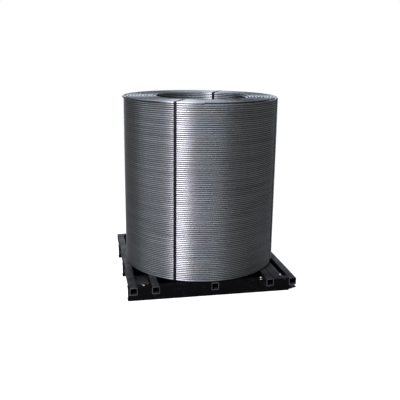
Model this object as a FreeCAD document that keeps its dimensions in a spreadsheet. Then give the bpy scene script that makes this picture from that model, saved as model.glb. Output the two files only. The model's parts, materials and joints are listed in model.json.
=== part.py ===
import FreeCAD, Part
import os

import Sketcher

# A coil of steel-sheathed cored wire, eye to the sky, strapped round its section and
# standing on a welded steel pallet.  Millimetres.  +Z is up, the floor is Z = 0, and the
# origin is on the floor under the middle of the pallet.  -Y is the pallet's front.

# Driving dimensions: alias, value.  Every one can be set by itself.
DIMENSIONS = (
    # the coil
    ("turn_pitch", 13.0),
    ("turn_count", 90),
    ("wire_diameter", 12.4),
    ("coil_outer_radius", 534.0),
    ("coil_bore_radius", 313.5),
    ("coil_set_back", -28.0),
    ("end_ring_count", 11),
    ("end_groove_depth", 4.0),
    ("end_groove_width", 9.0),
    # the steel straps and their seals
    ("strap_width", 19.0),
    ("strap_thickness", 1.0),
    ("strap_first_angle", 61.3),
    ("strap_clearance", 0.1),
    ("seal_length", 32.0),
    ("seal_thickness", 0.9),
    # the pallet's square tubes
    ("tube_size", 50.0),
    ("tube_wall", 4.0),
    ("tube_corner_radius", 6.0),
    ("tube_length", 1156.0),
    ("outer_tube_offset", 535.0),
    ("left_inner_offset", 391.0),
    ("right_inner_offset", 377.0),
    # the pallet's channel rails
    ("rail_height", 88.0),
    ("rail_flange_width", 50.0),
    ("rail_gauge", 5.0),
    ("rail_overhang", 12.0),
    ("second_rail_offset", -146.0),
    ("third_rail_offset", 247.0),
    ("notch_clearance", 0.5),
    # the plates
    ("deck_plate_width", 73.0),
    ("deck_plate_gauge", 6.0),
    ("foot_plate_lap", 70.0),
    ("foot_plate_depth", 150.0),
    ("foot_plate_gauge", 6.0),
    ("foot_chamfer_depth", 25.0),
)

STRAP_COUNT = 4

# Sizes worked out from the driving ones, as cells of the same sheet: alias, formula.
DERIVED = (
    ("coil_height", "turn_pitch * turn_count"),
    ("coil_floor", "rail_height + strap_thickness + strap_clearance"),
    ("coil_middle", "coil_floor + coil_height / 2"),
    ("coil_edge_radius", "wire_diameter / 2"),
    ("ring_pitch", "(coil_outer_radius - coil_bore_radius - wire_diameter) / (end_ring_count - 1)"),
    ("first_groove", "coil_bore_radius + (wire_diameter + ring_pitch) / 2"),
    ("strap_bore_face", "sqrt((coil_bore_radius - strap_clearance)^2 - (strap_width / 2)^2)"),
    ("strap_outer_face", "coil_outer_radius + strap_clearance"),
    ("strap_half_height", "coil_height / 2 + strap_clearance"),
    ("strap_bend_radius", "coil_edge_radius"),
    ("seal_radius", "(coil_outer_radius + coil_bore_radius) / 2"),
    ("seal_width", "strap_width + 2 * (strap_clearance + seal_thickness)"),
    ("tube_top", "rail_height"),
    ("tube_middle", "tube_top - tube_size / 2"),
    ("outer_tube_inside", "outer_tube_offset - tube_size / 2"),
    ("pallet_front", "-tube_length / 2"),
    ("rail_left", "-outer_tube_offset - tube_size / 2 - rail_overhang"),
    ("deck_plate_left", "right_inner_offset + tube_size / 2"),
    ("foot_plate_left", "outer_tube_inside - foot_plate_lap"),
    ("foot_plate_right", "-rail_left"),
)

# The five square tubes, from the left: name and the place of its middle across the pallet.
TUBES = (
    ("left_outer_tube", "-Dimensions.outer_tube_offset"),
    ("left_inner_tube", "-Dimensions.left_inner_offset"),
    ("centre_tube", "0"),
    ("right_inner_tube", "Dimensions.right_inner_offset"),
    ("right_outer_tube", "Dimensions.outer_tube_offset"),
)


def fill_sheet(document):
    """Write the driving and the derived dimensions into the document's spreadsheet."""
    sheet = document.addObject("Spreadsheet::Sheet", "Dimensions")
    row = 1
    for alias, value in DIMENSIONS:
        sheet.set(f"A{row}", alias)
        sheet.set(f"B{row}", str(value))
        sheet.setAlias(f"B{row}", alias)
        row += 1
    for alias, formula in DERIVED:
        sheet.set(f"A{row}", alias)
        sheet.set(f"B{row}", "=" + formula)
        sheet.setAlias(f"B{row}", alias)
        row += 1
    document.recompute()
    return sheet


def new_body(document, name):
    """Add a body whose label is the sub-part's name."""
    body = document.addObject("PartDesign::Body", name)
    body.Label = name
    return body


def origin_plane(body, role):
    """Find one of the body's own three origin planes."""
    return next(item for item in body.Origin.OriginFeatures if item.Role == role)


def new_sketch(body, name, role):
    """Attach an empty sketch to one of the body's origin planes."""
    sketch = body.newObject("Sketcher::SketchObject", name)
    sketch.AttachmentSupport = [(origin_plane(body, role), "")]
    sketch.MapMode = "FlatFace"
    return sketch


def number(sketch, formula):
    """Work out a formula of the sheet's cells as a plain number."""
    value = sketch.evalExpression(formula)
    return float(getattr(value, "Value", value))


def bind(sketch, kind, geometry, point, formula):
    """Hold a point of the sketch at a signed distance from its origin, by a formula."""
    constraint = Sketcher.Constraint(kind, -1, 1, geometry, point, number(sketch, formula))
    index = sketch.addConstraint(constraint)
    sketch.setExpression(f"Constraints[{index}]", formula)


def add_polygon(sketch, corners):
    """Draw a closed outline of straight lines; each corner is a pair of formulas."""
    places = [FreeCAD.Vector(number(sketch, x), number(sketch, y), 0) for x, y in corners]
    first = sketch.GeometryCount
    for start, end in zip(places, places[1:] + places[:1]):
        sketch.addGeometry(Part.LineSegment(start, end), False)
    for index, (x, y) in enumerate(corners):
        before = first + (index - 1) % len(corners)
        sketch.addConstraint(Sketcher.Constraint("Coincident", before, 2, first + index, 1))
        bind(sketch, "DistanceX", first + index, 1, x)
        bind(sketch, "DistanceY", first + index, 1, y)


def add_rounded_rectangle(sketch, left, right, bottom, top, radius):
    """Draw a rectangle with four equal round corners, from formulas for its sides."""
    x_low, x_high, y_low, y_high, round_off = (
        number(sketch, formula) for formula in (left, right, bottom, top, radius)
    )
    first = sketch.GeometryCount
    sides = (
        ((x_low + round_off, y_low), (x_high - round_off, y_low)),
        ((x_high, y_low + round_off), (x_high, y_high - round_off)),
        ((x_high - round_off, y_high), (x_low + round_off, y_high)),
        ((x_low, y_high - round_off), (x_low, y_low + round_off)),
    )
    centres = (
        (x_high - round_off, y_low + round_off),
        (x_high - round_off, y_high - round_off),
        (x_low + round_off, y_high - round_off),
        (x_low + round_off, y_low + round_off),
    )
    for start, end in sides:
        sketch.addGeometry(Part.LineSegment(FreeCAD.Vector(*start, 0), FreeCAD.Vector(*end, 0)), False)
    quarter = Part.Circle().LastParameter / 4
    for index, centre in enumerate(centres):
        circle = Part.Circle(FreeCAD.Vector(*centre, 0), FreeCAD.Vector(0, 0, 1), round_off)
        arc = Part.ArcOfCircle(circle, (index - 1) * quarter, index * quarter)
        sketch.addGeometry(arc, False)
    for index in range(4):
        side = first + index
        corner = first + 4 + index
        following = first + (index + 1) % 4
        sketch.addConstraint(Sketcher.Constraint("Tangent", side, 2, corner, 1))
        sketch.addConstraint(Sketcher.Constraint("Tangent", corner, 2, following, 1))
        sketch.addConstraint(Sketcher.Constraint("Vertical" if index % 2 else "Horizontal", side))
        if index:
            sketch.addConstraint(Sketcher.Constraint("Equal", first + 4, corner))
    round_index = sketch.addConstraint(Sketcher.Constraint("Radius", first + 4, round_off))
    sketch.setExpression(f"Constraints[{round_index}]", radius)
    bind(sketch, "DistanceY", first, 1, bottom)
    bind(sketch, "DistanceX", first + 1, 1, right)
    bind(sketch, "DistanceY", first + 2, 1, top)
    bind(sketch, "DistanceX", first + 3, 1, left)


def pad(body, sketch, length, both_ways):
    """Pad a sketch by a formula's length, one way or half each way."""
    feature = body.newObject("PartDesign::Pad", f"{body.Name}_pad")
    feature.Profile = sketch
    feature.SideType = "Symmetric" if both_ways else "One side"
    feature.setExpression("Length", length)
    return feature


def place(body, x, y, z, angle="0"):
    """Bind a body's place, and its turn about the vertical, to formulas."""
    turn = f"rotation(vector(0; 0; 1); {angle})"
    body.setExpression("Placement", f"placement(vector({x}; {y}; {z}); {turn})")


def make_coil(document):
    """One turned solid with its bore, its turns showing as rings on both of its ends."""
    body = new_body(document, "wire_coil")
    section = new_sketch(body, "coil_section", "XZ_Plane")
    add_rounded_rectangle(
        section,
        "Dimensions.coil_bore_radius",
        "Dimensions.coil_outer_radius",
        "-Dimensions.coil_height / 2",
        "Dimensions.coil_height / 2",
        "Dimensions.coil_edge_radius",
    )
    turned = body.newObject("PartDesign::Revolution", "coil_turned")
    turned.Profile = section
    turned.ReferenceAxis = (section, ["V_Axis"])
    turned.Angle = 360.0

    rings = new_sketch(body, "coil_end_rings", "XZ_Plane")
    face = "Dimensions.coil_height / 2"
    for ring in range(int(number(rings, "Dimensions.end_ring_count")) - 1):
        middle = f"Dimensions.first_groove + {ring} * Dimensions.ring_pitch"
        half = "Dimensions.end_groove_width / 2"
        corners = (
            (middle, f"{face} - Dimensions.end_groove_depth"),
            (f"{middle} + {half}", face),
            (f"{middle} - {half}", face),
        )
        add_polygon(rings, corners)
    grooves = body.newObject("PartDesign::Groove", "coil_grooves")
    grooves.Profile = rings
    grooves.ReferenceAxis = (rings, ["V_Axis"])
    grooves.Angle = 360.0
    far_end = body.newObject("PartDesign::Mirrored", "coil_far_end")
    far_end.Originals = [grooves]
    far_end.MirrorPlane = (origin_plane(body, "XY_Plane"), [""])
    body.Tip = far_end
    place(body, "0", "Dimensions.coil_set_back", "Dimensions.coil_middle")
    return body


def make_strap(document, index):
    """A steel strap round the coil's section: down its side, under it, up its bore, over it."""
    body = new_body(document, f"strap_{index + 1}")
    sketch = new_sketch(body, f"strap_{index + 1}_loop", "XZ_Plane")
    bore_face = "Dimensions.strap_bore_face"
    outer_face = "Dimensions.strap_outer_face"
    half = "Dimensions.strap_half_height"
    gauge = "Dimensions.strap_thickness"
    bend = "Dimensions.strap_bend_radius"
    add_rounded_rectangle(sketch, bore_face, outer_face, f"-{half}", half, bend)
    add_rounded_rectangle(
        sketch,
        f"{bore_face} - {gauge}",
        f"{outer_face} + {gauge}",
        f"-{half} - {gauge}",
        f"{half} + {gauge}",
        f"{bend} + {gauge}",
    )
    pad(body, sketch, "Dimensions.strap_width", True)
    angle = f"Dimensions.strap_first_angle + {index} * {360 // STRAP_COUNT}"
    place(body, "0", "Dimensions.coil_set_back", "Dimensions.coil_middle", angle)
    return body


def make_seal(document, index):
    """The crimped seal that joins a strap's ends, folded over it on the coil's top."""
    body = new_body(document, f"strap_seal_{index + 1}")
    sketch = new_sketch(body, f"seal_{index + 1}_fold", "YZ_Plane")
    gauge = "Dimensions.strap_thickness"
    outside = "Dimensions.seal_width / 2"
    inside = f"{outside} - Dimensions.seal_thickness"
    crown = f"{gauge} + Dimensions.seal_thickness"
    corners = (
        (f"-({outside})", "0"),
        (f"-({inside})", "0"),
        (f"-({inside})", gauge),
        (inside, gauge),
        (inside, "0"),
        (outside, "0"),
        (outside, crown),
        (f"-({outside})", crown),
    )
    add_polygon(sketch, corners)
    pad(body, sketch, "Dimensions.seal_length", True)
    angle = f"Dimensions.strap_first_angle + {index} * {360 // STRAP_COUNT}"
    place(
        body,
        f"Dimensions.seal_radius * cos(({angle}) * 1deg)",
        f"Dimensions.coil_set_back + Dimensions.seal_radius * sin(({angle}) * 1deg)",
        "Dimensions.coil_middle + Dimensions.strap_half_height",
        angle,
    )
    return body


def make_tube(document, name, across):
    """A square tube that runs the pallet's whole depth, open at both ends."""
    body = new_body(document, name)
    sketch = new_sketch(body, f"{name}_section", "XZ_Plane")
    half = "Dimensions.tube_size / 2"
    bore = f"({half} - Dimensions.tube_wall)"
    outer_round = "Dimensions.tube_corner_radius"
    inner_round = "Dimensions.tube_corner_radius - Dimensions.tube_wall"
    add_rounded_rectangle(sketch, f"-{half}", half, f"-{half}", half, outer_round)
    add_rounded_rectangle(sketch, f"-{bore}", bore, f"-{bore}", bore, inner_round)
    pad(body, sketch, "Dimensions.tube_length", True)
    place(body, across, "0", "Dimensions.tube_middle")
    return body


def make_rail(document, name, left, right, web_face, side, tubes):
    """A channel across the pallet, on its edge, notched from the top for the tubes.

    side is 1 where the flanges point back from the web's face, and -1 where they point
    forward.  The rail's own frame starts at its left end, on the floor, at that face.
    """
    body = new_body(document, name)
    section = new_sketch(body, f"{name}_section", "YZ_Plane")
    gauge = f"{side} * Dimensions.rail_gauge"
    depth = f"{side} * Dimensions.rail_flange_width"
    lower = "Dimensions.rail_gauge"
    upper = "Dimensions.rail_height - Dimensions.rail_gauge"
    top = "Dimensions.rail_height"
    corners = (
        ("0", "0"),
        (depth, "0"),
        (depth, lower),
        (gauge, lower),
        (gauge, upper),
        (depth, upper),
        (depth, top),
        ("0", top),
    )
    add_polygon(section, corners)
    pad(body, section, f"{right} - ({left})", False)

    notches = new_sketch(body, f"{name}_notches", "XZ_Plane")
    floor = "Dimensions.rail_height - Dimensions.tube_size"
    half = "(Dimensions.tube_size / 2 + Dimensions.notch_clearance)"
    for across in tubes:
        low = f"{across} - ({left}) - {half}"
        high = f"{across} - ({left}) + {half}"
        add_polygon(notches, ((low, floor), (high, floor), (high, top), (low, top)))
    cut = body.newObject("PartDesign::Pocket", f"{name}_cut")
    cut.Profile = notches
    cut.SideType = "Symmetric"
    cut.Type = "ThroughAll"
    place(body, left, web_face, "0")
    return body


def make_rails(document):
    """The four channels: three that carry the left tube too, and the rear one between tubes."""
    places = dict(TUBES)
    inner = [places[name] for name in ("left_inner_tube", "centre_tube", "right_inner_tube")]
    left = "Dimensions.rail_left"
    inside = "Dimensions.outer_tube_inside"
    front = "Dimensions.pallet_front"
    crossed = [places["left_outer_tube"]] + inner
    return [
        make_rail(document, "front_rail", left, inside, front, 1, crossed),
        make_rail(document, "second_rail", left, inside, "Dimensions.second_rail_offset", 1, crossed),
        make_rail(document, "third_rail", left, inside, "Dimensions.third_rail_offset", 1, crossed),
        make_rail(document, "rear_rail", f"-{inside}", inside, f"-{front}", -1, inner),
    ]


def make_deck_plate(document):
    """A flat plate level with the tubes' tops, from the front rail back to the second."""
    body = new_body(document, "deck_plate")
    sketch = new_sketch(body, "deck_plate_outline", "XY_Plane")
    front = "Dimensions.pallet_front + Dimensions.rail_flange_width"
    length = f"Dimensions.second_rail_offset - ({front})"
    width = "Dimensions.deck_plate_width"
    add_polygon(sketch, (("0", "0"), (width, "0"), (width, length), ("0", length)))
    pad(body, sketch, "Dimensions.deck_plate_gauge", False)
    place(
        body,
        "Dimensions.deck_plate_left",
        front,
        "Dimensions.tube_top - Dimensions.deck_plate_gauge",
    )
    return body


def make_foot_plate(document):
    """A plate on the front rail's lower flange that sticks out under the right outer tube."""
    body = new_body(document, "foot_plate")
    sketch = new_sketch(body, "foot_plate_outline", "XY_Plane")
    width = "Dimensions.foot_plate_right - Dimensions.foot_plate_left"
    depth = "Dimensions.foot_plate_depth"
    corners = (
        ("0", "0"),
        ("Dimensions.foot_plate_lap", "0"),
        (width, "Dimensions.foot_chamfer_depth"),
        (width, depth),
        ("0", depth),
    )
    add_polygon(sketch, corners)
    pad(body, sketch, "Dimensions.foot_plate_gauge", False)
    place(
        body,
        "Dimensions.foot_plate_left",
        "Dimensions.pallet_front + Dimensions.rail_gauge",
        "Dimensions.rail_gauge",
    )
    return body


def check(document, bodies):
    """Stop if any object failed to compute or any sub-part is not one sound solid."""
    for item in document.Objects:
        if "Invalid" in item.State or "Error" in item.State:
            raise RuntimeError(f"{item.Label} failed: {item.State}")
    for body in bodies:
        shape = body.Shape
        if shape.isNull() or not shape.isValid() or len(shape.Solids) != 1:
            raise RuntimeError(f"{body.Label} is not one sound solid")


def main():
    """Build every sub-part and write each to its own STEP file."""
    document = FreeCAD.newDocument("wire_coil_on_pallet")
    fill_sheet(document)
    bodies = [make_coil(document)]
    for index in range(STRAP_COUNT):
        bodies.append(make_strap(document, index))
        bodies.append(make_seal(document, index))
    for name, across in TUBES:
        bodies.append(make_tube(document, name, across))
    bodies += make_rails(document)
    bodies.append(make_deck_plate(document))
    bodies.append(make_foot_plate(document))
    document.recompute()
    check(document, bodies)
    os.makedirs("parts", exist_ok=True)
    for body in bodies:
        body.Shape.exportStep(f"parts/{body.Label}.step")
        print(f"{body.Label}: {body.Shape.Volume:.0f} mm3, box {body.Shape.BoundBox}")


main()
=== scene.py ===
"""Looks of a strapped coil of steel-sheathed cored wire that stands on its welded pallet.

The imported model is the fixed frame.  The wire's turns are wound here as real wire; the straps,
the tubes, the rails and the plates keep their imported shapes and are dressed.  Metres throughout.
"""

import enum
import json
import logging
import math
from collections.abc import Callable
from dataclasses import dataclass, field

import bmesh
import bpy
from mathutils import Euler, Matrix, Vector, noise


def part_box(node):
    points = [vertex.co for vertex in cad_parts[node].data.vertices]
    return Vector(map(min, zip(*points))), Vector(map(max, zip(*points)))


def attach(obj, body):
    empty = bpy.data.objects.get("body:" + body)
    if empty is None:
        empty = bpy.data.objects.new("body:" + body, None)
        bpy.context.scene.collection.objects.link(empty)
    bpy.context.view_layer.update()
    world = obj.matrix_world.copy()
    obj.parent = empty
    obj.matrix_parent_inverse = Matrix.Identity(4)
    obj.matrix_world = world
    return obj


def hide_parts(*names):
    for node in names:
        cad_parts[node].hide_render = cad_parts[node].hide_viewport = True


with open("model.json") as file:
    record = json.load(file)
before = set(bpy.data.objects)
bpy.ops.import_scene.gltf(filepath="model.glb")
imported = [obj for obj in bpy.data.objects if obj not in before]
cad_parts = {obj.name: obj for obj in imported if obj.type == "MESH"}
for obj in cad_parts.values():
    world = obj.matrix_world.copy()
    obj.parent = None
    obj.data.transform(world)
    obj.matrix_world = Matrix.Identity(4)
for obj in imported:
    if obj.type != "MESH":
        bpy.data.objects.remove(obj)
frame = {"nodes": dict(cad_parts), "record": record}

ROOT = "root"
LOG = logging.getLogger("wire_coil")
UP = Vector((0.0, 0.0, 1.0))
FULL_TURN = 2.0 * math.pi
MERGE_DISTANCE = 0.00001
ROUND_WIRE_ANGLE = 80.0
CUT_END_ANGLE = 60.0


class Slot(enum.Enum):
    """The record's material slots."""

    SHEATH = "wire_sheath"
    STRAP = "strap_steel"
    PALLET = "pallet_paint"


class End(enum.Enum):
    """The two flat ends of the coil, and which way each faces."""

    TOP = 1.0
    BOTTOM = -1.0


def smooth_step(value: float) -> float:
    """Ease a value from 0 to 1 with level ends, held at 0 and 1 outside them."""
    held = min(max(value, 0.0), 1.0)
    return held * held * (3.0 - 2.0 * held)


def finish_mesh(bm: bmesh.types.BMesh, name: str, material: bpy.types.Material,
                smooth_angle: float = 40.0) -> bpy.types.Object:
    """Turn a bmesh into a dressed piece that rides on the part.

    Args:
        bm: The finished bmesh, in the part's own frame. It is freed.
        name: The piece's name.
        material: The Blender material to wear.
        smooth_angle: Edges sharper than this, in degrees, stay crisp.

    Returns:
        The new object.
    """
    bmesh.ops.recalc_face_normals(bm, faces=bm.faces[:])
    limit = math.radians(smooth_angle)
    for face in bm.faces:
        face.smooth = True
    for edge in bm.edges:
        edge.smooth = not edge.is_manifold or edge.calc_face_angle(0.0) < limit
    mesh = bpy.data.meshes.new(name)
    bm.to_mesh(mesh)
    bm.free()
    mesh.materials.append(material)
    piece = bpy.data.objects.new(name, mesh)
    bpy.context.scene.collection.objects.link(piece)
    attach(piece, ROOT)
    LOG.info("%s: %d faces", name, len(mesh.polygons))
    return piece


class NodeBoard:
    """A material's node tree, with short ways to add and join its nodes."""

    def __init__(self, name: str) -> None:
        """Start an empty material.

        Args:
            name: The material's name.
        """
        self.material = bpy.data.materials.new(name)
        self.material.use_nodes = True
        self.tree = self.material.node_tree
        self.tree.nodes.clear()
        self.output = self.tree.nodes.new("ShaderNodeOutputMaterial")

    def add(self, kind: str, links: dict | None = None, **settings: object) -> bpy.types.Node:
        """Add a node.

        Args:
            kind: The node's type, without its ShaderNode prefix.
            links: Input name or number to a socket to join or a value to set.
            **settings: Properties of the node itself.

        Returns:
            The new node.
        """
        node = self.tree.nodes.new("ShaderNode" + kind)
        for key, value in settings.items():
            setattr(node, key, value)
        for key, value in (links or {}).items():
            if isinstance(value, bpy.types.NodeSocket):
                self.tree.links.new(value, node.inputs[key])
            else:
                node.inputs[key].default_value = value
        return node

    def math(self, operation: str, first: object, second: object = 0.0) -> bpy.types.NodeSocket:
        """Add a Math node and return its result."""
        return self.add("Math", {0: first, 1: second}, operation=operation).outputs[0]

    def ramp(self, value: bpy.types.NodeSocket, low: float, high: float,
             to_low: float, to_high: float) -> bpy.types.NodeSocket:
        """Carry a value from one range to another, held at both ends.

        Args:
            value: The socket to carry over.
            low: Where the first range starts.
            high: Where the first range ends.
            to_low: What low becomes.
            to_high: What high becomes.

        Returns:
            The carried value's socket.
        """
        links = {0: value, 1: low, 2: high, 3: to_low, 4: to_high}
        return self.add("MapRange", links).outputs[0]

    def mix(self, factor: object, first: object, second: object) -> bpy.types.NodeSocket:
        """Mix two colours and return the result."""
        node = self.add("Mix", {0: factor, 6: first, 7: second}, data_type="RGBA")
        return node.outputs[2]

    def place(self) -> bpy.types.NodeSocket:
        """Return the piece's own coordinates, which are the part's."""
        return self.add("TexCoord").outputs["Object"]

    def noise(self, where: bpy.types.NodeSocket, scale: float, detail: float = 3.0,
              roughness: float = 0.5) -> bpy.types.NodeSocket:
        """Add a noise and return its value, from 0 to 1."""
        links = {"Vector": where, "Scale": scale, "Detail": detail, "Roughness": roughness}
        return self.add("TexNoise", links).outputs[0]

    def stretched(self, where: bpy.types.NodeSocket, scale: tuple) -> bpy.types.NodeSocket:
        """Scale coordinates differently along each axis."""
        return self.add("Mapping", {"Vector": where, "Scale": scale}).outputs[0]

    def surface(self, **inputs: object) -> bpy.types.Material:
        """Close the board with a Principled surface.

        Args:
            **inputs: Socket names, with _ for each space, to a socket or a value.

        Returns:
            The finished material.
        """
        links = {key.replace("_", " "): value for key, value in inputs.items()}
        shader = self.add("BsdfPrincipled", links)
        self.tree.links.new(shader.outputs[0], self.output.inputs[0])
        return self.material


@dataclass(frozen=True)
class SheathFinish:
    """Cold-rolled strip drawn into a round sheath: dull grey steel, with painted shade in the grooves
    between the turns.

    Attributes:
        name: The material's name.
        dark: The steel's darker tone.
        pale: The steel's paler tone.
        turn_pitch: How far apart the turns lie.
        axis: A point on the coil's axis.
        radii: The radius of the coil's eye and of its outside.
        ends: The heights of the coil's bottom and top.
        groove_shade_depths: Where the painted shade in the grooves starts and where it is darkest,
            below the coil's surface.
        groove_shade: How dark the painted shade in the grooves is at its darkest.
        roughness: The roughness of the cleaner and of the duller streaks.
        drawn_grain: How much the drawing marks along the wire spread its highlight across it.
    """

    radii: tuple[float, float]
    ends: tuple[float, float]
    name: str = "cored_wire_sheath"
    groove_shade_depths: tuple = (0.0017, 0.0052)
    groove_shade: tuple = (0.010, 0.010, 0.010, 1.0)
    dark: tuple = (0.050, 0.0525, 0.052, 1.0)
    pale: tuple = (0.086, 0.090, 0.091, 1.0)
    turn_pitch: float = 0.013
    axis: tuple = (0.0, 0.0, 0.0)
    roughness: tuple = (0.455, 0.485)
    drawn_grain: float = 0.85

    def make(self) -> bpy.types.Material:
        """Build the material; its streaks follow each turn round the coil's axis."""
        board = NodeBoard(self.name)
        centred = board.add("Mapping", {"Vector": board.place(),
                                        "Location": tuple(-value for value in self.axis)}).outputs[0]
        parts = board.add("SeparateXYZ", {0: centred}).outputs
        flat = board.add("CombineXYZ", {0: parts[0], 1: parts[1]}).outputs[0]
        radius = board.add("VectorMath", {0: flat}, operation="LENGTH").outputs["Value"]
        turn = board.math("DIVIDE", board.math("ADD", radius, parts[2]), self.turn_pitch)
        along = board.add("CombineXYZ", {0: parts[0], 1: parts[1], 2: turn}).outputs[0]
        per_turn = board.noise(board.stretched(along, (1.6, 1.6, 0.9)), 1.0, 2.0)
        streaks = board.noise(board.stretched(along, (9.0, 9.0, 6.0)), 1.0, 4.0, 0.6)
        drawn = board.noise(board.stretched(along, (40.0, 40.0, 60.0)), 1.0, 2.0)
        cloud = board.noise(centred, 3.0, 3.0)
        tone = board.math("ADD", board.math("MULTIPLY", per_turn, 0.45),
                          board.math("MULTIPLY", streaks, 0.35))
        tone = board.math("ADD", tone, board.math("MULTIPLY", cloud, 0.20))
        colour = board.mix(board.ramp(tone, 0.36, 0.64, 0.0, 1.0), self.dark, self.pale)
        # Painted shade: points sunk between the turns are darkened towards groove_shade, standing in
        # for the shade in the grooves.
        colour = board.mix(self.groove_shade_share(board, radius, parts[2]), colour, self.groove_shade)
        rough = board.ramp(streaks, 0.3, 0.7, self.roughness[0], self.roughness[1])
        bump = board.add("Bump", {"Strength": 0.08, "Distance": 0.0003, "Height": drawn})
        along_wire = board.add("VectorMath", {0: (0.0, 0.0, 1.0), 1: flat},
                               operation="CROSS_PRODUCT").outputs[0]
        normal = board.add("NewGeometry").outputs["Normal"]
        across = board.add("VectorMath", {0: normal, 1: along_wire},
                           operation="CROSS_PRODUCT").outputs[0]
        across = board.add("VectorMath", {0: across}, operation="NORMALIZE").outputs[0]
        return board.surface(Base_Color=colour, Metallic=1.0, Roughness=rough,
                             Specular_Tint=(0.55, 0.56, 0.58, 1.0), Anisotropic=self.drawn_grain,
                             Tangent=across, Normal=bump.outputs[0])

    def groove_shade_share(self, board: NodeBoard, radius: bpy.types.NodeSocket,
               height: bpy.types.NodeSocket) -> bpy.types.NodeSocket:
        """Work out how deep a point lies between the turns, for the painted shade in the grooves.

        Args:
            board: The node board.
            radius: The point's distance from the axis.
            height: The point's height.

        Returns:
            0 on the coil's skin, rising to 1 in the grooves between two turns.
        """
        depth = board.math("ABSOLUTE", board.math("SUBTRACT", radius, self.radii[0]))
        planes = ((radius, self.radii[1]), (height, self.ends[0]), (height, self.ends[1]))
        for value, level in planes:
            away = board.math("ABSOLUTE", board.math("SUBTRACT", value, level))
            depth = board.math("MINIMUM", depth, away)
        return board.ramp(depth, self.groove_shade_depths[0], self.groove_shade_depths[1], 0.0, 1.0)


@dataclass(frozen=True)
class StrapFinish:
    """Black lacquered strapping, scuffed along its edges and where it was dragged."""

    name: str = "black_strapping"
    lacquer: tuple = (0.0012, 0.0012, 0.0014, 1.0)
    scuff: tuple = (0.0045, 0.0045, 0.0048, 1.0)

    def make(self) -> bpy.types.Material:
        """Build the material."""
        board = NodeBoard(self.name)
        where = board.place()
        long_marks = board.noise(board.stretched(where, (160.0, 160.0, 6.0)), 1.0, 4.0, 0.6)
        blotches = board.noise(where, 14.0, 3.0)
        worn = board.math("MULTIPLY", board.ramp(long_marks, 0.52, 0.72, 0.0, 1.0),
                          board.ramp(blotches, 0.42, 0.62, 0.15, 1.0))
        colour = board.mix(worn, self.lacquer, self.scuff)
        rough = board.ramp(blotches, 0.3, 0.7, 0.42, 0.56)
        bump = board.add("Bump", {"Strength": 0.2, "Distance": 0.0003, "Height": long_marks})
        return board.surface(Base_Color=colour, Metallic=0.0, Roughness=rough,
                             Specular_IOR_Level=0.02, Normal=bump.outputs[0])


@dataclass(frozen=True)
class PaintFinish:
    """Thin black paint on rolled steel: dusty and with a painted sheen on upward faces, paler towards
    the rear; worn through at its edges and ends.
    """

    name: str = "black_pallet_paint"
    paint: tuple = (0.0004, 0.0004, 0.00045, 1.0)
    dust_and_sheen: tuple = (0.0008, 0.0008, 0.0008, 1.0)
    bare: tuple = (0.100, 0.100, 0.102, 1.0)
    bare_ends: float = 0.0

    def make(self) -> bpy.types.Material:
        """Build the material; cut ends that face along the pallet show bare steel."""
        board = NodeBoard(self.name)
        where = board.place()
        brushed = board.noise(board.stretched(where, (30.0, 5.0, 30.0)), 1.0, 4.0, 0.65)
        blotches = board.noise(where, 11.0, 4.0, 0.6)
        chips = board.noise(where, 150.0, 3.0, 0.7)
        facing = board.add("NewGeometry").outputs["Normal"]
        parts = board.add("SeparateXYZ", {0: facing}).outputs
        # Dusty paint with a painted sheen: upward faces take the lighter dust_and_sheen colour in
        # blotches, more of it towards the rear.
        upward = board.ramp(parts[2], 0.55, 0.95, 0.0, 1.0)
        dust_and_sheen_share = board.math("MULTIPLY", upward, board.ramp(blotches, 0.32, 0.68, 0.25, 1.0))
        front_to_rear = board.add("SeparateXYZ", {0: where}).outputs[1]
        dust_and_sheen_share = board.math("MULTIPLY", dust_and_sheen_share, board.ramp(front_to_rear, -0.45, 0.0, 0.4, 1.2))
        colour = board.mix(dust_and_sheen_share, self.paint, self.dust_and_sheen)
        chipped = board.math("MULTIPLY", board.ramp(chips, 0.66, 0.72, 0.0, 1.0),
                             board.ramp(blotches, 0.5, 0.62, 0.0, 0.6))
        along = board.math("ABSOLUTE", parts[1])
        sawn = board.math("MULTIPLY", board.ramp(along, 0.96, 0.99, 0.0, self.bare_ends),
                          board.ramp(blotches, 0.35, 0.6, 0.4, 1.0))
        chipped = board.math("MAXIMUM", chipped, sawn)
        colour = board.mix(chipped, colour, self.bare)
        rough = board.ramp(brushed, 0.3, 0.7, 0.42, 0.62)
        bump = board.add("Bump", {"Strength": 0.3, "Distance": 0.0006, "Height": brushed})
        return board.surface(Base_Color=colour, Metallic=chipped, Roughness=rough,
                             Specular_IOR_Level=0.012, Normal=bump.outputs[0])


@dataclass(frozen=True)
class BareSteelFinish:
    """Bright steel, worn by the tack welds' weld metal."""

    name: str = "bare_steel"
    steel: tuple = (0.20, 0.20, 0.205, 1.0)
    shade: tuple = (0.09, 0.09, 0.093, 1.0)
    roughness: tuple = (0.35, 0.55)

    def make(self) -> bpy.types.Material:
        """Build the material."""
        board = NodeBoard(self.name)
        where = board.place()
        grain = board.noise(where, 220.0, 3.0, 0.6)
        cloud = board.noise(where, 30.0, 2.0)
        colour = board.mix(board.ramp(cloud, 0.35, 0.65, 0.0, 1.0), self.shade, self.steel)
        rough = board.ramp(grain, 0.3, 0.7, self.roughness[0], self.roughness[1])
        bump = board.add("Bump", {"Strength": 0.3, "Distance": 0.0003, "Height": grain})
        return board.surface(Base_Color=colour, Metallic=1.0, Roughness=rough,
                             Normal=bump.outputs[0])


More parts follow.
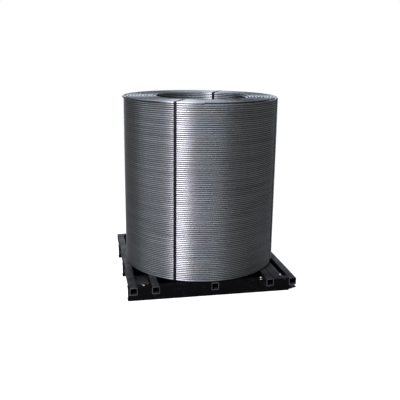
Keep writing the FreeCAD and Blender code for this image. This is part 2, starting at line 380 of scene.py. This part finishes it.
@dataclass
class Winding:
    """A run of round wire wound about the coil's axis, section by section.

    Attributes:
        radius: Distance of the wire's middle from the axis before it is laid.
        wire_radius: Half the wire's thickness.
        turns: How many turns the run has.
        steps: How many sections each turn has.
        sides: How many sides the wire's section has.
        start: The angle of the first section about the axis, in degrees from +X.
        course: Gives, for a count of turns from the start and the direction of the section,
            how far the wire is moved outward and up.
    """

    radius: float
    wire_radius: float
    turns: float
    steps: int
    sides: int
    start: float
    course: Callable[[float, Vector], tuple[float, float]]

    def wind(self, axis: Vector) -> bmesh.types.BMesh:
        """Spin the wire's section through one turn, copy that turn and lay every section.

        Args:
            axis: A point on the coil's axis, at the height that the course starts from.

        Returns:
            A closed tube with capped ends.
        """
        bm = bmesh.new()
        section = bm.verts.layers.int.new("section")
        bmesh.ops.create_circle(bm, segments=self.sides, radius=self.wire_radius)
        stand = Euler((math.pi / 2.0, 0.0, 0.0)).to_matrix()
        bmesh.ops.rotate(bm, verts=bm.verts[:], cent=(0, 0, 0), matrix=stand)
        bmesh.ops.translate(bm, verts=bm.verts[:], vec=(self.radius, 0.0, 0.0))
        turn_to_start = Matrix.Rotation(math.radians(self.start), 3, UP)
        bmesh.ops.rotate(bm, verts=bm.verts[:], cent=(0, 0, 0), matrix=turn_to_start)
        bmesh.ops.spin(bm, geom=bm.verts[:] + bm.edges[:], cent=(0, 0, 0), axis=-UP,
                       dvec=(0, 0, 0), angle=FULL_TURN, steps=self.steps, use_merge=False)
        for index, vert in enumerate(bm.verts):
            vert[section] = index // self.sides
        first_turn = bm.verts[:] + bm.edges[:] + bm.faces[:]
        for number in range(1, math.ceil(self.turns)):
            copied = bmesh.ops.duplicate(bm, geom=first_turn)["geom"]
            for vert in copied:
                if isinstance(vert, bmesh.types.BMVert):
                    vert[section] += number * self.steps
        last = round(self.turns * self.steps)
        spare = [vert for vert in bm.verts if vert[section] > last]
        bmesh.ops.delete(bm, geom=spare, context="VERTS")
        self.lay(bm, section)
        bmesh.ops.remove_doubles(bm, verts=bm.verts[:], dist=MERGE_DISTANCE)
        rims = [edge for edge in bm.edges if edge.is_boundary]
        bmesh.ops.holes_fill(bm, edges=rims, sides=self.sides)
        bmesh.ops.translate(bm, verts=bm.verts[:], vec=axis)
        return bm

    def lay(self, bm: bmesh.types.BMesh, section: bmesh.types.BMLayerItem) -> None:
        """Move every section to its place on the course.

        Args:
            bm: The wound turns, all at the same height.
            section: The vertex layer that counts the sections from the start.
        """
        for vert in bm.verts:
            away = Vector((vert.co.x, vert.co.y, 0.0))
            outward = away.normalized()
            shift, rise = self.course(vert[section] / self.steps, outward)
            vert.co += outward * shift + UP * rise


@dataclass
class WireCoil:
    """The coil: its outer layer, its bore layer, the layers' last turns on both ends, a core.

    Attributes:
        turns: Turns in one layer, from end to end.
        wire_radius: Half the wire's thickness.
        layers: How many layers lie between the bore and the outside.
        tail_bearing: Where the wire's free end lies, in degrees from the front towards +X.
        climb: The share of each turn in which the wire steps on by its own thickness.
        slack: How far the last turn springs out between two straps.
        slack_from: The bearing of the strap where that slack starts.
        slack_to: The bearing of the strap where that slack ends.
        unevenness: How far the turns sink behind the straps' line.
        lift: How far the turns wander up and down.
        crossover_bearing: Where, on the ends, each layer's wire steps across to the next.
        crossover: The share of a turn that this step takes.
        tail_spring: How far the cut end springs out.
        tail_reach: The share of a turn over which that spring dies away.
        slack_rise: How much of the slack is also a rise.
        bore_start: The angle where the bore layer starts, in degrees from +X.
        core_inset: How far the hidden layers' ring lies inside the visible wires' middles.
        coarse_mesh: Sections a turn and sides of the wire, for the outer layer and the ends.
        fine_mesh: The same for the last turn.
        bore_mesh: The same for the bore layer.
        core_steps: Sections of the hidden layers' ring.
    """

    turns: int = 90
    wire_radius: float = 0.0062
    layers: int = 21
    tail_bearing: float = -9.2
    climb: float = 1.0 / 3.0
    slack: float = 0.0125
    slack_from: float = -118.7
    slack_to: float = -28.7
    unevenness: float = 0.0007
    lift: float = 0.00012
    crossover_bearing: float = 165.0
    crossover: float = 0.09
    tail_spring: float = 0.003
    tail_reach: float = 0.045
    slack_rise: float = 0.12
    bore_start: float = 200.0
    core_inset: float = 0.0005
    coarse_mesh: tuple[int, int] = (96, 10)
    fine_mesh: tuple[int, int] = (144, 16)
    bore_mesh: tuple[int, int] = (72, 8)
    core_steps: int = 96
    axis: Vector = field(init=False)
    pitch: float = field(init=False)
    outer_lay: float = field(init=False)
    bore_lay: float = field(init=False)
    top: float = field(init=False)
    bottom: float = field(init=False)

    def __post_init__(self) -> None:
        """Take the coil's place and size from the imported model."""
        low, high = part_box("wire_coil")
        self.axis = Vector(((low.x + high.x) / 2.0, (low.y + high.y) / 2.0, 0.0))
        self.bottom, self.top = low.z, high.z
        self.pitch = (high.z - low.z) / self.turns
        self.outer_lay = (high.x - low.x) / 2.0 - self.wire_radius
        mounts = {mount["name"]: mount for mount in frame["record"]["mounts"]}
        eye = mounts["coil_eye"]["dims"]["r_mm"] / 1000.0
        self.bore_lay = eye + self.wire_radius

    @property
    def layer_step(self) -> float:
        """How far apart two layers lie."""
        return (self.outer_lay - self.bore_lay) / (self.layers - 1)

    def wander(self, turn: float, outward: Vector, seed: float) -> tuple[float, float]:
        """Work out how far a turn strays into the coil and up from a perfect lay.

        Args:
            turn: Turns from the start of the run.
            outward: The direction of the section from the axis.
            seed: Sets one run's wandering apart from another's.

        Returns:
            The distance into the coil and the distance up.
        """
        where = Vector((outward.x * 1.3, outward.y * 1.3 + seed, turn * 0.83))
        inward = abs(noise.noise(where)) * self.unevenness
        return inward, noise.noise(where + UP * 57.3) * self.lift

    def helix(self, turn: float) -> float:
        """Give how many pitches the wire has stepped down.

        Args:
            turn: Turns from the start of the run.

        Returns:
            The pitches: level through each turn, then a smooth step.
        """
        whole = math.floor(turn)
        share = turn - whole
        return whole + smooth_step((share - (1.0 - self.climb)) / self.climb)

    def bearing_to_angle(self, bearing: float) -> float:
        """Turn a bearing from the front into degrees from +X."""
        return bearing - 90.0

    def last_turn_slack(self, outward: Vector) -> float:
        """Work out how far the last turn springs out where no strap holds it.

        Args:
            outward: The direction of the section from the axis.

        Returns:
            The distance outward.
        """
        bearing = math.degrees(math.atan2(outward.x, -outward.y))
        share = (bearing - self.slack_from) / (self.slack_to - self.slack_from)
        if 0.0 < share < 1.0:
            return self.slack * math.sin(math.pi * share)
        return 0.0

    def outer_course(self, turn: float, outward: Vector) -> tuple[float, float]:
        """Lay the outer layer: down by a pitch a turn, the first turn below the last one."""
        stray, lift = self.wander(turn, outward, 0.0)
        return -stray, lift - self.pitch * (self.helix(turn) + 1.0)

    def last_course(self, turn: float, outward: Vector) -> tuple[float, float]:
        """Lay the last turn: slack between two straps, then down beside its own start.

        Args:
            turn: Turns from the cut end.
            outward: The direction of the section from the axis.

        Returns:
            The shift outward and the rise.
        """
        slack = self.last_turn_slack(outward)
        spring = self.tail_spring * smooth_step(1.0 - turn / self.tail_reach)
        return slack + spring, slack * self.slack_rise - self.pitch * self.helix(turn)

    def bore_course(self, turn: float, outward: Vector) -> tuple[float, float]:
        """Lay the bore layer, which climbs the other way round."""
        stray, lift = self.wander(turn, outward, 9.0)
        return stray, lift - self.pitch * turn

    def end_course(self, sign: float, sunk: float) -> Callable[[float, Vector], tuple[float, float]]:
        """Make the course of the last turns on one end.

        Args:
            sign: 1 on the top and -1 on the bottom.
            sunk: How far these turns lie below the proud ones.

        Returns:
            The course: level turns that step out by two layers at the crossover.
        """
        def course(turn: float, outward: Vector) -> tuple[float, float]:
            """Give a section's shift outward and its rise."""
            whole = math.floor(turn)
            share = turn - whole
            step = whole + smooth_step((share - (1.0 - self.crossover)) / self.crossover)
            stray, lift = self.wander(turn, outward, 21.0 * sign + sunk * 1000.0)
            return lift + 2.0 * self.layer_step * step, -sign * (sunk + stray)
        return course

    def build(self, sheath: bpy.types.Material) -> list[bpy.types.Object]:
        """Wind every run of wire and the core that they lie round.

        Args:
            sheath: The wire's finish.

        Returns:
            The pieces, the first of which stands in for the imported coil.
        """
        pieces = [self.outer_layer(sheath), self.last_turn(sheath), self.bore_layer(sheath)]
        for end in End:
            pieces += self.end_turns(end, sheath)
        pieces.append(self.core(sheath))
        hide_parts("wire_coil")
        return pieces

    def outer_layer(self, sheath: bpy.types.Material) -> bpy.types.Object:
        """Wind the outer layer below its last turn."""
        run = Winding(self.outer_lay, self.wire_radius, self.turns - 1 - self.climb, *self.coarse_mesh,
                      self.bearing_to_angle(self.tail_bearing), self.outer_course)
        start = self.axis + UP * (self.top - self.wire_radius)
        return finish_mesh(run.wind(start), "outer_layer_turns", sheath, ROUND_WIRE_ANGLE)

    def last_turn(self, sheath: bpy.types.Material) -> bpy.types.Object:
        """Wind the last turn, whose cut end lies on the front of the rim."""
        run = Winding(self.outer_lay, self.wire_radius, 1.0, *self.fine_mesh,
                      self.bearing_to_angle(self.tail_bearing), self.last_course)
        start = self.axis + UP * (self.top - self.wire_radius)
        return finish_mesh(run.wind(start), "last_outer_turn", sheath, CUT_END_ANGLE)

    def bore_layer(self, sheath: bpy.types.Material) -> bpy.types.Object:
        """Wind the layer that lines the coil's eye."""
        run = Winding(self.bore_lay, self.wire_radius, self.turns - 1, *self.bore_mesh, self.bore_start,
                      self.bore_course)
        start = self.axis + UP * (self.top - self.wire_radius)
        return finish_mesh(run.wind(start), "bore_layer_turns", sheath, ROUND_WIRE_ANGLE)

    def end_turns(self, end: End, sheath: bpy.types.Material) -> list[bpy.types.Object]:
        """Wind the turns that show on one end: every second layer proud, the others sunk."""
        face = self.top if end is End.TOP else self.bottom
        start = self.axis + UP * (face - end.value * self.wire_radius)
        angle = self.bearing_to_angle(self.crossover_bearing)
        half_step = self.pitch / 2.0
        runs = (
            ("proud", self.bore_lay + 2.0 * self.layer_step, self.layers // 2 - 1, 0.0),
            ("sunk", self.bore_lay + self.layer_step, self.layers // 2, half_step),
        )
        pieces = []
        for word, radius, turns, sunk in runs:
            run = Winding(radius, self.wire_radius, turns - self.crossover, *self.coarse_mesh, angle,
                          self.end_course(end.value, sunk))
            name = f"{end.name.lower()}_{word}_turns"
            pieces.append(finish_mesh(run.wind(start), name, sheath, ROUND_WIRE_ANGLE))
        return pieces

    def core(self, sheath: bpy.types.Material) -> bpy.types.Object:
        """Turn the hidden layers as one ring, just inside the visible wires' middles."""
        # The sheath's painted groove shade makes this ring near black wherever it shows between the
        # turns.
        inset = self.core_inset
        depth = self.wire_radius + self.pitch / 2.0 + inset
        bm = bmesh.new()
        bmesh.ops.create_grid(bm, x_segments=1, y_segments=1, size=0.5)
        size = (self.outer_lay - self.bore_lay - 2.0 * inset, self.top - self.bottom - 2.0 * depth, 1.0)
        bmesh.ops.scale(bm, verts=bm.verts[:], vec=size)
        stand = Euler((math.pi / 2.0, 0.0, 0.0)).to_matrix()
        bmesh.ops.rotate(bm, verts=bm.verts[:], cent=(0, 0, 0), matrix=stand)
        middle = Vector(((self.outer_lay + self.bore_lay) / 2.0, 0.0, (self.top + self.bottom) / 2.0))
        bmesh.ops.translate(bm, verts=bm.verts[:], vec=middle)
        bmesh.ops.delete(bm, geom=bm.faces[:], context="FACES_ONLY")
        bmesh.ops.spin(bm, geom=bm.verts[:] + bm.edges[:], cent=(0, 0, 0), axis=UP,
                       dvec=(0, 0, 0), angle=FULL_TURN, steps=self.core_steps, use_merge=True)
        bmesh.ops.translate(bm, verts=bm.verts[:], vec=self.axis)
        return finish_mesh(bm, "hidden_layers", sheath)


@dataclass
class PalletWelds:
    """The beads that hold the rails to the tubes, and the tack welds left bright.

    Attributes:
        bead_radius: Half a bead's width.
        bead_steps: How many ripples' worth of sections a bead has.
        ripple: How much a bead's thickness comes and goes.
        tack_radius: Half a tack weld's width.
        tacks: Each tack weld's place on the floor plan and its stretch along X and Y.
    """

    bead_radius: float = 0.0030
    bead_steps: int = 14
    ripple: float = 0.14
    tack_radius: float = 0.0080
    tacks: tuple = ((-0.468, -0.534, 0.8, 1.7), (0.323, -0.535, 1.0, 1.0),
                    (0.315, -0.568, 1.0, 1.0), (0.470, -0.507, 1.0, 1.0))
    rails: tuple = ("front_rail", "second_rail", "third_rail", "rear_rail")
    tubes: tuple = ("left_outer_tube", "left_inner_tube", "centre_tube", "right_inner_tube",
                    "right_outer_tube")

    def build(self, weld: bpy.types.Material, bare: bpy.types.Material) -> list[bpy.types.Object]:
        """Lay every bead, painted over, and every tack, left bare."""
        pieces = [self.beads(rail, weld) for rail in self.rails]
        pieces.append(self.tack_welds(bare))
        return pieces

    def beads(self, rail: str, weld: bpy.types.Material) -> bpy.types.Object:
        """Lay a rail's beads along the sides of every tube that it meets.

        Args:
            rail: The rail's name.
            weld: The weld's finish.

        Returns:
            All the beads of this rail as one piece.
        """
        rail_low, rail_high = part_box(rail)
        bm = bmesh.new()
        for tube in self.tubes:
            low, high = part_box(tube)
            for side in (low.x, high.x):
                reach = self.bead_radius
                if rail_low.x - reach <= side <= rail_high.x + reach:
                    self.bead(bm, side, rail_low.y, rail_high.y, high.z)
        return finish_mesh(bm, f"{rail}_weld_beads", weld, 60.0)

    def bead(self, bm: bmesh.types.BMesh, side: float, front: float, rear: float,
             top: float) -> None:
        """Lay one rippled bead from front to rear beside a tube.

        Args:
            bm: The bmesh that takes the bead.
            side: The X of the tube's side.
            front: Where the bead starts.
            rear: Where the bead ends.
            top: The height of the tube's top, which the bead's top is level with.
        """
        inset = self.bead_radius
        step = (rear - front - 2.0 * inset) / self.bead_steps
        ring = bmesh.ops.create_circle(bm, segments=8, radius=self.bead_radius)["verts"]
        stand = Euler((math.pi / 2.0, 0.0, 0.0)).to_matrix()
        bmesh.ops.rotate(bm, verts=ring, cent=(0, 0, 0), matrix=stand)
        middle = Vector((side, front + inset, top - self.bead_radius * (1.0 + self.ripple)))
        bmesh.ops.translate(bm, verts=ring, vec=middle)
        edges = list({edge for vert in ring for edge in vert.link_edges})
        bmesh.ops.holes_fill(bm, edges=edges, sides=8)
        for number in range(self.bead_steps):
            out = bmesh.ops.extrude_edge_only(bm, edges=edges)["geom"]
            ring = [part for part in out if isinstance(part, bmesh.types.BMVert)]
            edges = [part for part in out if isinstance(part, bmesh.types.BMEdge)]
            edges = [edge for edge in edges if edge.is_boundary]
            bmesh.ops.translate(bm, verts=ring, vec=(0.0, step, 0.0))
            swell = 1.0 + self.ripple if number % 2 == 0 else 1.0 / (1.0 + self.ripple)
            centre = Matrix.Translation(-middle)
            bmesh.ops.scale(bm, verts=ring, vec=(swell, 1.0, swell), space=centre)
        bmesh.ops.holes_fill(bm, edges=edges, sides=8)

    def tack_welds(self, weld: bpy.types.Material) -> bpy.types.Object:
        """Set the low bright domes of the tack welds on the pallet's top."""
        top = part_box("centre_tube")[1].z
        bm = bmesh.new()
        for across, along, wide, long in self.tacks:
            dome = bmesh.ops.create_uvsphere(bm, u_segments=12, v_segments=8,
                                             radius=self.tack_radius)["verts"]
            bmesh.ops.scale(bm, verts=dome, vec=(wide, long, 0.35))
            turn = Matrix.Rotation(0.5, 3, UP)
            bmesh.ops.rotate(bm, verts=dome, cent=(0, 0, 0), matrix=turn)
            bmesh.ops.translate(bm, verts=dome, vec=(across, along, top))
        return finish_mesh(bm, "tack_welds", weld)


@dataclass(frozen=True)
class Lamp:
    """A soft lamp that looks at the coil's middle.

    Attributes:
        name: The lamp's name.
        turn: Its bearing from the camera's towards +X, in degrees.
        elevation: Its height over the horizon, in degrees.
        distance: How far it hangs from the coil's middle, in metres.
        width: Its width in metres.
        height: Its height in metres.
        power: Its power in watts.
        tint: Its colour.
    """

    name: str
    turn: float
    elevation: float
    distance: float
    width: float
    height: float
    power: float
    tint: tuple[float, float, float]

    def hang(self, axis: Vector, bearing: float) -> None:
        """Hang the lamp.

        Args:
            axis: The foot of the coil's axis.
            bearing: Where the camera stands, in degrees from the front towards +X.
        """
        data = bpy.data.lights.new(self.name, "AREA")
        data.shape = "RECTANGLE"
        data.size = self.width
        data.size_y = self.height
        data.energy = self.power
        data.color = self.tint
        heading = math.radians(bearing + self.turn)
        lift = math.radians(self.elevation)
        away = Vector((math.sin(heading) * math.cos(lift), -math.cos(heading) * math.cos(lift),
                       math.sin(lift)))
        lamp = bpy.data.objects.new(self.name, data)
        lamp.location = axis + UP * COIL_MIDDLE_HEIGHT + away * self.distance
        lamp.visible_camera = False
        lamp.rotation_euler = away.to_track_quat("Z", "Y").to_euler()
        bpy.context.scene.collection.objects.link(lamp)


LILAC = (1.0, 0.925, 1.05)
COOL = (0.91, 0.99, 1.15)
COIL_MIDDLE_HEIGHT = 0.7
LAMPS = (
    Lamp("key", -28.0, 27.0, 5.0, 1.45, 4.4, 1400.0, LILAC),
    Lamp("left_fill", -78.0, 28.0, 5.0, 3.6, 3.6, 230.0, COOL),
    Lamp("front_fill", 14.0, 38.0, 5.0, 3.4, 3.0, 200.0, COOL),
    Lamp("top", -24.0, 80.0, 4.0, 5.0, 5.0, 640.0, COOL),
    Lamp("rear", 180.0, 20.0, 6.5, 5.5, 2.0, 170.0, COOL),
)


@dataclass
class Studio:
    """A pale floor, soft light and a camera at standing height in front of the pallet.

    Attributes:
        bearing: Where the camera stands, in degrees from the front towards +X.
        distance: The camera's distance from the coil's axis.
        eye_height: The camera's height above the floor.
        pitch: How far the camera looks down, in degrees.
        roll: How far the camera leans, in degrees.
        trim: How far the camera looks past the axis, in degrees.
        lens: The focal length in millimetres on the sensor.
        sensor: The sensor's width in millimetres.
    """

    axis: Vector
    bearing: float = -11.675
    distance: float = 4.160
    eye_height: float = 1.5826
    pitch: float = 14.48
    roll: float = 0.735
    trim: float = 0.06
    lens: float = 53.26
    sensor: float = 36.0

    def build(self) -> None:
        """Set up the floor, the world, the lamps and the camera."""
        self.floor()
        self.world()
        for lamp in LAMPS:
            lamp.hang(self.axis, self.bearing)
        self.camera()
        bpy.context.scene.view_settings.view_transform = "Standard"

    def floor(self) -> None:
        """Lay a wide pale floor, seen as near white, with a near-black painted shadow inside the
        pallet's outline.
        """
        board = NodeBoard("pale_floor")
        seen = self.seen_directly(board)
        marks = board.noise(board.place(), 0.6, 2.0)
        colour = board.mix(board.ramp(marks, 0.3, 0.7, 0.0, 1.0), (0.50, 0.50, 0.50, 1.0),
                           (0.53, 0.53, 0.53, 1.0))
        matt = board.add("BsdfDiffuse", {"Color": colour})
        white = board.add("Emission", {"Color": (1.0, 1.0, 1.0, 1.0), "Strength": 1.0})
        where = board.place()
        away = board.add("VectorMath", {0: where}, operation="LENGTH").outputs["Value"]
        share = board.math("MULTIPLY", seen, board.ramp(away, 1.2, 4.0, 0.80, 1.0))
        # Painted shadow: inside the pallet's outline the floor takes a near-black colour and loses its
        # white share.
        outside_painted_shadow = self.painted_shadow_outline(board, where)
        colour = board.mix(outside_painted_shadow, (0.010, 0.010, 0.010, 1.0), colour)
        board.tree.links.new(colour, matt.inputs["Color"])
        share = board.math("MULTIPLY", share, outside_painted_shadow)
        both = board.add("MixShader", {0: share, 1: matt.outputs[0], 2: white.outputs[0]})
        board.tree.links.new(both.outputs[0], board.output.inputs[0])
        bm = bmesh.new()
        bmesh.ops.create_grid(bm, x_segments=8, y_segments=8, size=30.0)
        mesh = bpy.data.meshes.new("floor")
        bm.to_mesh(mesh)
        bm.free()
        mesh.materials.append(board.material)
        floor = bpy.data.objects.new("floor", mesh)
        bpy.context.scene.collection.objects.link(floor)

    def painted_shadow_outline(self, board: NodeBoard, where: bpy.types.NodeSocket) -> bpy.types.NodeSocket:
        """Mark the ground inside the pallet's outline, where the floor's material paints a dark shadow.

        Args:
            board: The node board.
            where: The floor's own coordinates.

        Returns:
            0 inside the outline and 1 outside it.
        """
        front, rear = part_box("front_rail")[0].y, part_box("rear_rail")[1].y
        left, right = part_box("left_outer_tube")[0].x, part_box("right_outer_tube")[1].x
        parts = board.add("SeparateXYZ", {0: where}).outputs
        shares = []
        for part, low, high in ((parts[0], left, right), (parts[1], front, rear)):
            middle, half = (low + high) / 2.0, (high - low) / 2.0
            away = board.math("ABSOLUTE", board.math("SUBTRACT", part, middle))
            shares.append(board.ramp(away, half - 0.030, half - 0.012, 0.0, 1.0))
        return board.math("MAXIMUM", shares[0], shares[1])

    def seen_directly(self, board: NodeBoard) -> bpy.types.NodeSocket:
        """Tell the rays that show the background from those that carry light.

        Args:
            board: The node board.

        Returns:
            1 for camera, glossy and transmission rays and 0 for the others.
        """
        path = board.add("LightPath").outputs
        direct = board.math("MAXIMUM", path["Is Camera Ray"], path["Is Glossy Ray"])
        return board.math("MAXIMUM", direct, path["Is Transmission Ray"])

    def world(self) -> None:
        """Surround everything with plain white."""
        world = bpy.data.worlds.new("studio")
        bpy.context.scene.world = world
        world.use_nodes = True
        sky = world.node_tree.nodes["Background"]
        sky.inputs["Color"].default_value = (1.0, 1.0, 1.0, 1.0)
        sky.inputs["Strength"].default_value = 1.0

    def camera(self) -> None:
        """Stand the camera at its bearing and aim it."""
        data = bpy.data.cameras.new("view")
        data.sensor_width = self.sensor
        data.lens = self.lens
        bearing = math.radians(self.bearing)
        heading = math.radians(self.trim - self.bearing)
        down = math.radians(self.pitch)
        forward = Vector((math.sin(heading) * math.cos(down), math.cos(heading) * math.cos(down),
                          -math.sin(down)))
        right = forward.cross(UP).normalized()
        lean = Matrix.Rotation(math.radians(-self.roll), 3, forward)
        right = lean @ right
        up = right.cross(forward)
        pose = Matrix((right, up, -forward)).transposed().to_4x4()
        away = Vector((math.sin(bearing), -math.cos(bearing), 0.0)) * self.distance
        pose.translation = self.axis + away + UP * self.eye_height
        camera = bpy.data.objects.new("view", data)
        camera.matrix_world = pose
        bpy.context.scene.collection.objects.link(camera)
        bpy.context.scene.camera = camera


def dress(names: list[str], material: bpy.types.Material) -> None:
    """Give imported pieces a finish.

    Args:
        names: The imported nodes.
        material: The finish.
    """
    for name in names:
        mesh = frame["nodes"][name].data
        mesh.materials.clear()
        mesh.materials.append(material)
        LOG.info("%s: dressed in %s", name, material.name)


def main() -> None:
    """Build the pieces in order and set up the studio."""
    logging.basicConfig(level=logging.INFO, format="%(message)s")
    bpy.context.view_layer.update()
    coil = WireCoil()
    middle = tuple(coil.axis)
    skin = (coil.bore_lay - coil.wire_radius, coil.outer_lay + coil.wire_radius)
    sheath = SheathFinish(skin, (coil.bottom, coil.top), turn_pitch=coil.pitch, axis=middle).make()
    coil.build(sheath)
    nodes = sorted(frame["nodes"])
    dress([name for name in nodes if name.startswith("strap")], StrapFinish().make())
    # The tubes' and plates' lighter tops are dusty and carry a painted sheen.
    tubes = [name for name in nodes if name.endswith("_tube")]
    dress(tubes, PaintFinish(name="black_tube_paint", dust_and_sheen=(0.0145, 0.0155, 0.0155, 1.0),
                             bare_ends=0.16).make())
    plates = [name for name in nodes if name.endswith("_plate")]
    dress(plates, PaintFinish(name="black_plate_paint", dust_and_sheen=(0.011, 0.0115, 0.0115, 1.0)).make())
    dress([name for name in nodes if name.endswith("_rail")], PaintFinish().make())
    painted = PaintFinish(name="painted_weld", paint=(0.0020, 0.0020, 0.0022, 1.0)).make()
    PalletWelds().build(painted, BareSteelFinish().make())
    Studio(coil.axis).build()


if __name__ == "__main__":
    main()
